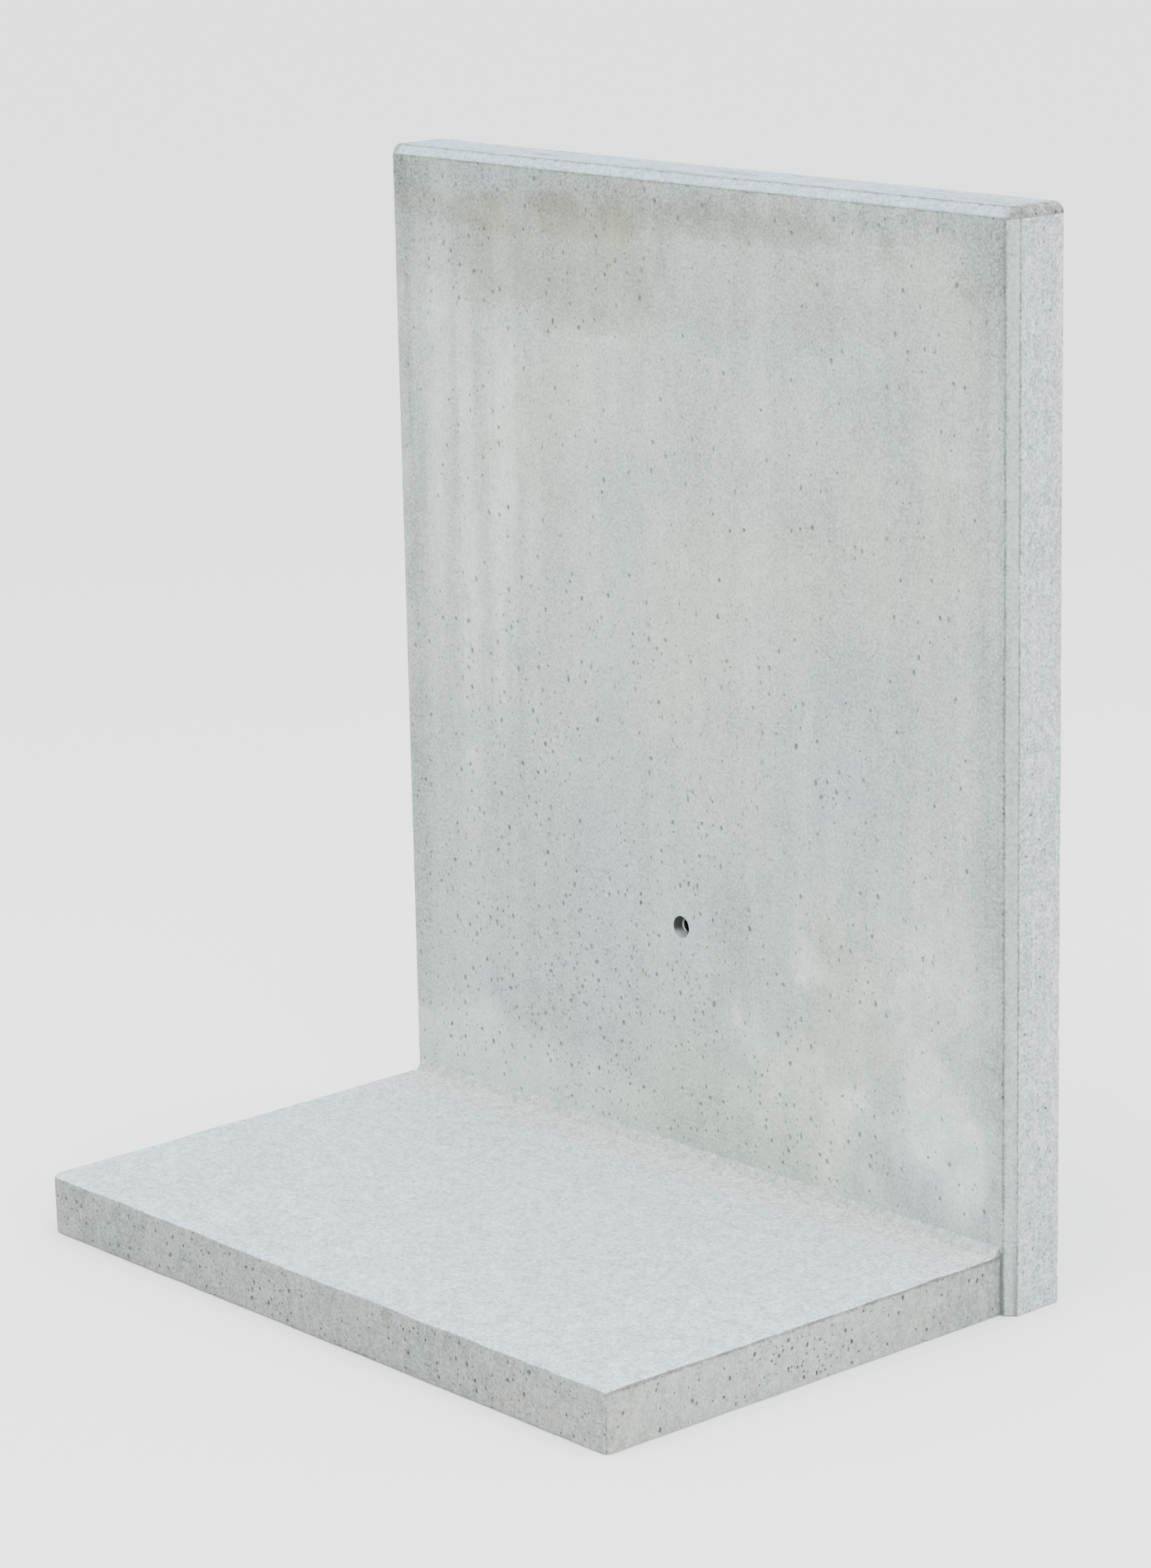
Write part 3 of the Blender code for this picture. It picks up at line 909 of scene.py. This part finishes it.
def formed_concrete():
    """The inner face: mould finish with clouds, streaks, freckles and a brown stain near the top."""
    paint = Paint("concrete_formed", 0.62)
    fine, sand, mottle = grain(paint)
    clouds = paint.spread(paint.noise(0.34, 4.0, (1, 1, 0.8), 2.0, warp=0.8))
    patches = paint.spread(paint.noise(0.10, 4.0, (1, 1, 0.7), 5.0, warp=0.4))
    streaks = paint.spread(paint.noise(0.030, 3.0, (1, 1, 0.05), 9.0))
    wobble = paint.total(0.0, (0.9, paint.spread(paint.noise(0.08, 4.0, offset=3.0))))
    colour = paint.mix(clouds, COOL, WARM)
    for share, *place in STAINS:
        colour = paint.darken(colour, share, blob(paint, *place, wobble), BROWN)
    level = formed_level(paint, clouds, patches, streaks, wobble)
    colour = paint.mix(paint.math("MULTIPLY", paint.seam("X", 0.474, 0.009), 0.22), colour, PALE)
    colour = paint.scaled(colour, paint.total(level, (0.12, mottle), (0.33, sand), (0.28, fine)))
    low = paint.step(paint.axis("Z"), 0.30, 0.85, 1.0, 0.45)
    left = paint.step(paint.axis("X"), 0.05, 0.35, 1.0, 0.45)
    freckles = paint.specks(0.0075, 0.27, 2.0, (1, 1, 0.62))
    freckles = paint.math("MULTIPLY", freckles, paint.math("MULTIPLY", low, left))
    colour = paint.darken(colour, 0.82, freckles, PIT_AND_SHADE)
    colour = paint.darken(colour, 0.75, paint.specks(0.0150, 0.12, 33.0, (1, 1, 0.7)), PIT_AND_SHADE)
    by_stain = blob(paint, -0.12, 1.12, 0.5, 0.07, wobble)
    crumbs = paint.math("MULTIPLY", paint.specks(0.0080, 0.26, 6.0), by_stain)
    colour = paint.darken(colour, 0.75, crumbs, CRUMB)
    colour = paint.darken(colour, 0.80, paint.darkness(), PIT_AND_SHADE)
    colour = edge_line(paint, colour, "X", HALF_WIDTH - CHAMFER, 0.0026)
    colour = edge_line(paint, colour, "Z", WALL_TOP - CHAMFER, 0.0024)
    # Painted shade in the low corner where the inner face meets the chamfer and the foot.
    below = paint.step(paint.axis("Z"), FOOT_TOP, FOOT_TOP + CHAMFER, 1.0, 0.0)
    beyond = paint.step(paint.axis("X"), HALF_WIDTH - 0.018, HALF_WIDTH - 0.015)
    colour = paint.darken(colour, 0.90, paint.math("MULTIPLY", below, beyond), PIT_AND_SHADE)
    paint.rough(paint.total(0.62, (0.10, patches)))
    paint.bump(paint.total(0.0, (0.5, fine), (0.8, sand), (0.7, mottle)), 0.0003)
    return paint.done(colour)


def back_concrete():
    """The wall's other side: the same mould finish, even and clean."""
    paint = Paint("concrete_back", 0.62)
    fine, sand, mottle = grain(paint)
    clouds = paint.spread(paint.noise(0.40, 4.0, (1, 1, 0.8), 31.0, warp=0.6))
    patches = paint.spread(paint.noise(0.09, 4.0, (1, 1, 0.7), 35.0, warp=0.4))
    streaks = paint.spread(paint.noise(0.030, 3.0, (1, 1, 0.05), 39.0))
    colour = paint.mix(clouds, COOL, WARM)
    level = paint.total(1.0, (0.12, clouds), (0.10, patches), (0.10, streaks), (0.10, mottle))
    colour = paint.scaled(colour, paint.total(level, (0.27, sand), (0.24, fine)))
    colour = paint.darken(colour, 0.70, paint.specks(0.0080, 0.24, 32.0, (1, 1, 0.7)), PIT_AND_SHADE)
    colour = paint.darken(colour, 0.75, paint.specks(0.0160, 0.12, 36.0, (1, 1, 0.7)), PIT_AND_SHADE)
    colour = paint.darken(colour, 0.80, paint.darkness(), PIT_AND_SHADE)
    paint.rough(paint.total(0.62, (0.10, patches)))
    paint.bump(paint.total(0.0, (0.5, fine), (0.8, sand), (0.7, mottle)), 0.0003)
    return paint.done(colour)


def chamfer_concrete():
    """The upright chamfers: streaky, with a thin dark line along each edge and a dark foot, which is painted
    shadow in the gap beside the foot's side.
    """
    paint = Paint("concrete_chamfer", 0.66)
    fine, sand, mottle = grain(paint)
    streaks = paint.spread(paint.noise(0.02, 3.0, (1, 1, 0.06), 6.0))
    level = paint.total(0.80, (0.16, streaks), (0.14, mottle), (0.28, sand), (0.20, fine))
    colour = paint.scaled(COOL, level)
    colour = paint.darken(colour, 0.75, paint.darkness(), PIT_AND_SHADE)
    colour = edge_line(paint, colour, "X", HALF_WIDTH - CHAMFER, 0.0012)
    colour = edge_line(paint, colour, "X", HALF_WIDTH, 0.0012)
    # Painted shadow in the narrow gap low down along the chamfer's outer edge, beside the foot's side.
    below = paint.step(paint.axis("Z"), 0.0, 1.6 * FOOT_TOP, 1.0, 0.0)
    painted_gap_shadow = paint.math("MULTIPLY", below, paint.seam("X", HALF_WIDTH, 0.0050))
    colour = paint.darken(colour, 0.75, painted_gap_shadow, PIT_AND_SHADE)
    paint.bump(paint.total(0.0, (0.5, fine), (0.8, sand)), 0.0003)
    return paint.done(colour)


def side_concrete():
    """The wall's ends: an orange-peel skin with upright lines."""
    paint = Paint("concrete_side", 0.66)
    fine, sand, mottle = grain(paint)
    clouds = paint.spread(paint.noise(0.12, 3.0, (1, 1, 0.5), 8.0))
    dents = paint.spread(paint.noise(0.008, 2.0, (1, 1, 0.8), 11.0))
    lines = paint.spread(paint.noise(0.005, 2.0, (1, 1, 0.03), 14.0))
    level = paint.total(1.24, (0.12, clouds), (0.16, mottle), (0.64, sand), (0.46, fine))
    level = paint.total(level, (0.30, dents), (0.16, lines))
    colour = paint.scaled(tone(0.365, 0.415, 0.412), level)
    colour = paint.darken(colour, 0.70, paint.specks(0.0085, 0.22, 5.0), PIT_AND_SHADE)
    colour = paint.darken(colour, 0.85, paint.darkness(), PIT_AND_SHADE)
    colour = edge_line(paint, colour, "Y", WALL_FRONT + CHAMFER, 0.0014)
    paint.bump(paint.total(0.0, (0.4, fine), (1.2, sand), (3.6, dents)), 0.0010)
    return paint.done(colour)


def foot_edge_concrete():
    """The foot's front and sides: dark, blotchy, with light grit, brown stains and many pits."""
    paint = Paint("concrete_foot_edge", 0.70)
    fine, sand, mottle = grain(paint)
    clouds = paint.spread(paint.noise(0.07, 4.0, (1, 1, 1.2), 3.0, warp=0.6))
    streaks = paint.spread(paint.noise(0.007, 3.0, (1, 1, 0.25), 12.0))
    brown = paint.step(paint.noise(0.045, 4.0, (1, 1, 1.5), 17.0, warp=0.5), 0.56, 0.68)
    colour = paint.mix(clouds, tone(0.212, 0.244, 0.237), tone(0.224, 0.240, 0.220))
    near = paint.step(paint.axis("Y"), BODY_LOW.y + 0.02, BODY_LOW.y + 0.10, 1.0, 0.0)
    near = paint.math("MULTIPLY", near, paint.step(paint.axis("X"), FOOT_FRONT_HALF - 0.004, FOOT_FRONT_HALF))
    near = paint.math("MULTIPLY", near, 0.55)
    colour = paint.darken(colour, 0.40, paint.math("MAXIMUM", brown, near), RUST)
    ends = paint.step(paint.math("ABSOLUTE", paint.axis("X")), FOOT_FRONT_HALF - 0.006, FOOT_FRONT_HALF)
    level = paint.math("MULTIPLY_ADD", ends, 0.26, 1.0)
    deep = paint.math("MULTIPLY", ends, paint.step(paint.axis("Y"), 0.0, WALL_FRONT))
    level = paint.math("MULTIPLY_ADD", deep, -0.30, level)
    level = paint.math("MULTIPLY_ADD", paint.step(paint.axis("X"), 0.22, 0.42), 0.12, level)
    level = paint.total(level, (0.14, clouds), (0.24, mottle), (0.18, streaks), (0.46, sand), (0.34, fine))
    colour = paint.scaled(colour, level)
    grit = paint.specks(0.0085, 0.22, 18.0)
    colour = paint.mix(paint.math("MULTIPLY", grit, 0.5), colour, tone(0.36, 0.39, 0.37))
    # A dark line just under the foot top's edge on the foot's sides, partly dirt and partly painted shade.
    dirt_and_shade_under_edge = paint.math("MULTIPLY", ends, dark_line(paint, "Z", FOOT_TOP - 0.0020, 0.0030))
    colour = paint.darken(colour, 0.80, dirt_and_shade_under_edge, tone(0.07, 0.07, 0.065))
    colour = paint.darken(colour, 0.85, paint.specks(0.0072, 0.27, 7.0), tone(0.06, 0.06, 0.055))
    colour = paint.darken(colour, 0.90, paint.darkness(), BLACK)
    paint.bump(paint.total(0.0, (0.5, fine), (1.0, sand), (1.0, mottle)), 0.0005)
    return paint.done(colour)


def trowelled_concrete():
    """The foot's top: pale and bluish, blotchy from the trowel, warmer near the wall."""
    paint = Paint("concrete_trowelled", 0.72)
    fine, sand, mottle = grain(paint)
    clouds = paint.spread(paint.noise(0.16, 4.0, (1, 1, 1), 4.0, warp=0.5))
    blotches = paint.spread(paint.noise(0.022, 4.0, (1, 1, 1), 6.5, roughness=0.65))
    near_wall = paint.step(paint.axis("Y"), WALL_FRONT - 0.16, WALL_FRONT)
    colour = paint.mix(near_wall, PALE, tone(0.550, 0.590, 0.575))
    level = paint.total(1.0, (0.05, clouds), (0.13, blotches), (0.16, mottle), (0.50, sand), (0.34, fine))
    colour = paint.scaled(colour, level)
    white = paint.specks(0.030, 0.10, 15.0)
    colour = paint.mix(paint.math("MULTIPLY", white, 0.6), colour, tone(0.72, 0.76, 0.76))
    colour = paint.darken(colour, 0.80, paint.darkness(), PIT_AND_SHADE)
    paint.bump(paint.total(0.0, (0.6, fine), (1.2, sand), (1.6, blotches)), 0.0007)
    return paint.done(colour)


def topping_concrete():
    """The wall's top and the chamfer along its front: pale and bluish, with dark lines and coarse specks."""
    paint = Paint("concrete_topping", 0.72)
    fine, sand, mottle = grain(paint)
    dashes = paint.step(paint.noise(0.006, 3.0, (0.06, 1, 1), 3.3), 0.54, 0.66)
    ends = paint.step(paint.math("ABSOLUTE", paint.axis("X")), HALF_WIDTH - 0.020, HALF_WIDTH - 0.010)
    level = paint.total(1.0, (0.22, mottle), (0.36, sand), (0.24, fine))
    level = paint.math("MULTIPLY_ADD", paint.math("MULTIPLY", ends, mottle), -0.60, level)
    behind = paint.step(paint.axis("Y"), WALL_FRONT + CHAMFER, WALL_FRONT + CHAMFER + 0.004)
    level = paint.math("MULTIPLY_ADD", paint.math("MULTIPLY", behind, dashes), -0.50, level)
    colour = paint.mix(ends, tone(0.335, 0.428, 0.470), tone(0.285, 0.310, 0.300))
    colour = paint.scaled(colour, level)
    colour = paint.darken(colour, 0.75, paint.specks(0.012, 0.16, 9.0), PIT_AND_SHADE)
    colour = paint.darken(colour, 0.80, paint.darkness(), PIT_AND_SHADE)
    colour = paint.darken(colour, 0.85, dark_line(paint, "Y", WALL_FRONT + CHAMFER, 0.0026), PIT_AND_SHADE)
    colour = paint.darken(colour, 0.55, dark_line(paint, "Z", WALL_TOP - CHAMFER, 0.0014), PIT_AND_SHADE)
    paint.bump(paint.total(0.0, (0.6, fine), (1.2, sand), (1.6, mottle)), 0.0004)
    return paint.done(colour)


def bead_concrete():
    """The rough bead between foot and wall."""
    paint = Paint("concrete_bead", 0.8)
    fine, sand, mottle = grain(paint)
    level = paint.total(1.06, (0.26, mottle), (0.45, sand), (0.22, fine))
    paint.bump(paint.total(0.0, (0.6, fine), (1.5, sand), (1.5, mottle)), 0.0008)
    return paint.done(paint.scaled(tone(0.425, 0.475, 0.470), level))


def recess_concrete():
    """The recess round the socket: painted shade, dark and brownish, on its upper part, and painted light on
    its pale lower part.
    """
    paint = Paint("concrete_recess", 0.5)
    fine, sand, mottle = grain(paint)
    # Painted light low down and painted shade above it, split by height about the socket's axis.
    lit_lip = paint.step(paint.axis("Z"), SOCKET_AXIS.z - 0.011, SOCKET_AXIS.z - 0.003, 1.0, 0.0)
    colour = paint.mix(lit_lip, tone(0.060, 0.056, 0.048), tone(0.290, 0.330, 0.335))
    level = paint.total(1.0, (0.20, mottle), (0.12, sand), (0.08, fine))
    paint.bump(paint.total(0.0, (0.5, fine), (0.6, sand)), 0.0001)
    return paint.done(paint.scaled(colour, level))


CONCRETES = {
    "formed": formed_concrete,
    "back": back_concrete,
    "chamfer": chamfer_concrete,
    "side": side_concrete,
    "foot_edge": foot_edge_concrete,
    "trowelled": trowelled_concrete,
    "topping": topping_concrete,
    "bead": bead_concrete,
    "recess": recess_concrete,
}


def zinc_steel():
    """Turned and zinc plated: fine rings about the socket's axis, with a dull bloom."""
    paint = Paint("zinc_plated_steel", 0.32, metallic=1.0, specular=0.5)
    bloom = paint.noise(0.004, 4.0, offset=2.0)
    turning = paint.noise(0.0006, 2.0, (0.2, 6.0, 0.2), 1.0)
    level = paint.total(1.0, (0.35, bloom), (0.12, turning))
    paint.rough(paint.total(0.32, (0.3, bloom)))
    paint.bump(turning, 0.00005)
    return paint.done(paint.scaled(tone(0.24, 0.25, 0.25), level))


def bar_steel():
    """Hot rolled: blue-grey mill scale with patches of rust."""
    paint = Paint("bar_steel", 0.6, metallic=0.7, specular=0.5)
    patches = paint.noise(0.012, 5.0, offset=3.0, roughness=0.65)
    scale = paint.noise(0.002, 3.0, offset=8.0)
    rust = paint.step(patches, 0.46, 0.62)
    colour = paint.mix(rust, tone(0.14, 0.15, 0.17), tone(0.30, 0.13, 0.05))
    paint.rough(paint.step(patches, 0.4, 0.7, 0.45, 0.85))
    paint.bump(paint.total(0.0, (1.0, scale), (1.0, patches)), 0.0002)
    return paint.done(paint.scaled(colour, paint.total(1.0, (0.5, scale))))


def spacer_concrete():
    """Extruded fibre concrete: even grey with pale fibres and a sandy skin."""
    paint = Paint("spacer_concrete", 0.85)
    fine, sand, mottle = grain(paint)
    fibres = paint.step(paint.noise(0.0012, 2.0, (1, 0.15, 1), 6.0), 0.62, 0.70)
    colour = paint.scaled(tone(0.30, 0.30, 0.285), paint.total(1.0, (0.3, mottle), (0.25, sand)))
    paint.bump(paint.total(0.0, (1.0, sand), (0.5, fine)), 0.0003)
    return paint.done(paint.mix(paint.math("MULTIPLY", fibres, 0.6), colour, tone(0.5, 0.5, 0.47)))


def dress_cage():
    """Gives the socket, the bars and the spacers their materials."""
    steel, bars, spacers = zinc_steel(), bar_steel(), spacer_concrete()
    for name, node in frame["nodes"].items():
        if name == "concrete_body":
            continue
        made = bars
        if name == "lifting_socket":
            made = steel
        elif "spacer" in name:
            made = spacers
        for slot in node.material_slots:
            slot.material = made


# The stage.


def make_floor():
    bm = bmesh.new()
    bmesh.ops.create_circle(bm, cap_ends=True, radius=FLOOR_RADIUS, segments=96)
    mesh = bpy.data.meshes.new("floor")
    bm.to_mesh(mesh)
    bm.free()
    floor = bpy.data.objects.new("floor", mesh)
    bpy.context.scene.collection.objects.link(floor)
    floor.location.z = CAD_BOX[0].z - FLOOR_GAP
    paint = Paint("floor", 0.9, specular=0.1)
    mesh.materials.append(paint.done(tone(0.90, 0.90, 0.90)))


def make_world():
    world = bpy.data.worlds.new("studio")
    world.use_nodes = True
    sky = world.node_tree.nodes["Background"]
    sky.inputs["Color"].default_value = (0.97, 0.99, 1.0, 1.0)
    sky.inputs["Strength"].default_value = SKY_STRENGTH
    bpy.context.scene.world = world


def make_panel_light(lamp):
    data = bpy.data.lights.new(lamp.name, "AREA")
    data.shape = "SQUARE"
    data.size = lamp.size
    data.energy = lamp.power
    light = bpy.data.objects.new(lamp.name, data)
    bpy.context.scene.collection.objects.link(light)
    light.location = lamp.place
    light.rotation_mode = "QUATERNION"
    light.rotation_quaternion = (Vector(lamp.target) - Vector(lamp.place)).to_track_quat("-Z", "Y")


def make_camera():
    """The camera, turned from its heading, pitch and roll."""
    data = bpy.data.cameras.new("camera")
    data.lens = LENS
    data.sensor_width = SENSOR
    camera = bpy.data.objects.new("camera", data)
    bpy.context.scene.collection.objects.link(camera)
    heading, pitch, roll = (math.radians(angle) for angle in (HEADING, PITCH, ROLL))
    back = Vector(
        (math.sin(heading) * math.cos(pitch), -math.cos(heading) * math.cos(pitch), math.sin(pitch))
    )
    across = Vector((math.cos(heading), math.sin(heading), 0.0))
    up = back.cross(across)
    right = across * math.cos(roll) + up * math.sin(roll)
    top = up * math.cos(roll) - across * math.sin(roll)
    turned = Matrix((right, top, back)).transposed().to_4x4()
    camera.matrix_world = Matrix.Translation(EYE) @ turned
    bpy.context.scene.camera = camera


make_casting()
dress_cage()
make_floor()
make_world()
for lamp in LAMPS:
    make_panel_light(lamp)
make_camera()
